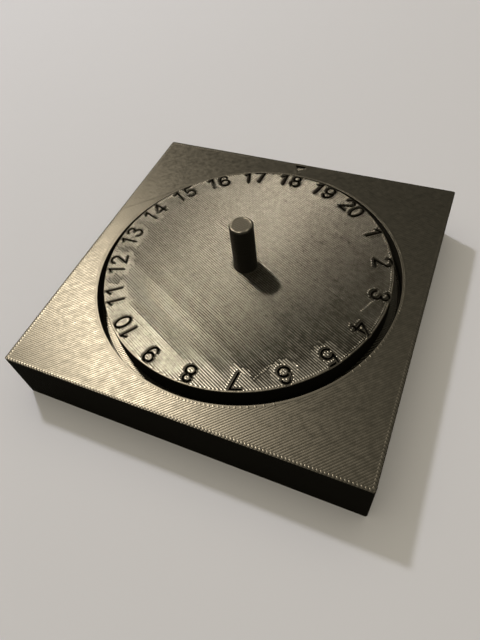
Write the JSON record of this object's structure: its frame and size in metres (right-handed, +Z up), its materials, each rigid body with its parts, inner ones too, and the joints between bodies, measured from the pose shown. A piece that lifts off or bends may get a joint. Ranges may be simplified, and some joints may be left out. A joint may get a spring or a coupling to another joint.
{
  "type": "spinner life counter",
  "caption": "Square base with a round pocket in which a numbered dial turns on a central spindle, read against an index mark, to keep a score.",
  "frame": {"origin": "centre of the base's underside", "axes": "+Z up along the spindle, +Y from the spindle towards the edge that carries the index mark, +X to its right seen from above"},
  "size_m": [0.063, 0.063, 0.022],
  "materials": {
    "base_plastic": "black printed plastic, satin, with fine print lines",
    "dial_plastic": "black printed plastic, satin, with fine print lines",
    "spindle_plastic": "black printed plastic, satin, with fine layer lines"
  },
  "bodies": {
    "base": {"base": "base_plastic"},
    "spinner": {"dial": "dial_plastic", "spindle": "spindle_plastic"}
  },
  "joints": [
    {"name": "dial_spin", "type": "hinge", "parent": "base", "child": "spinner", "pos_m": [0, 0, 0.0078], "axis": [0, 0, 1], "continuous": true}
  ]
}
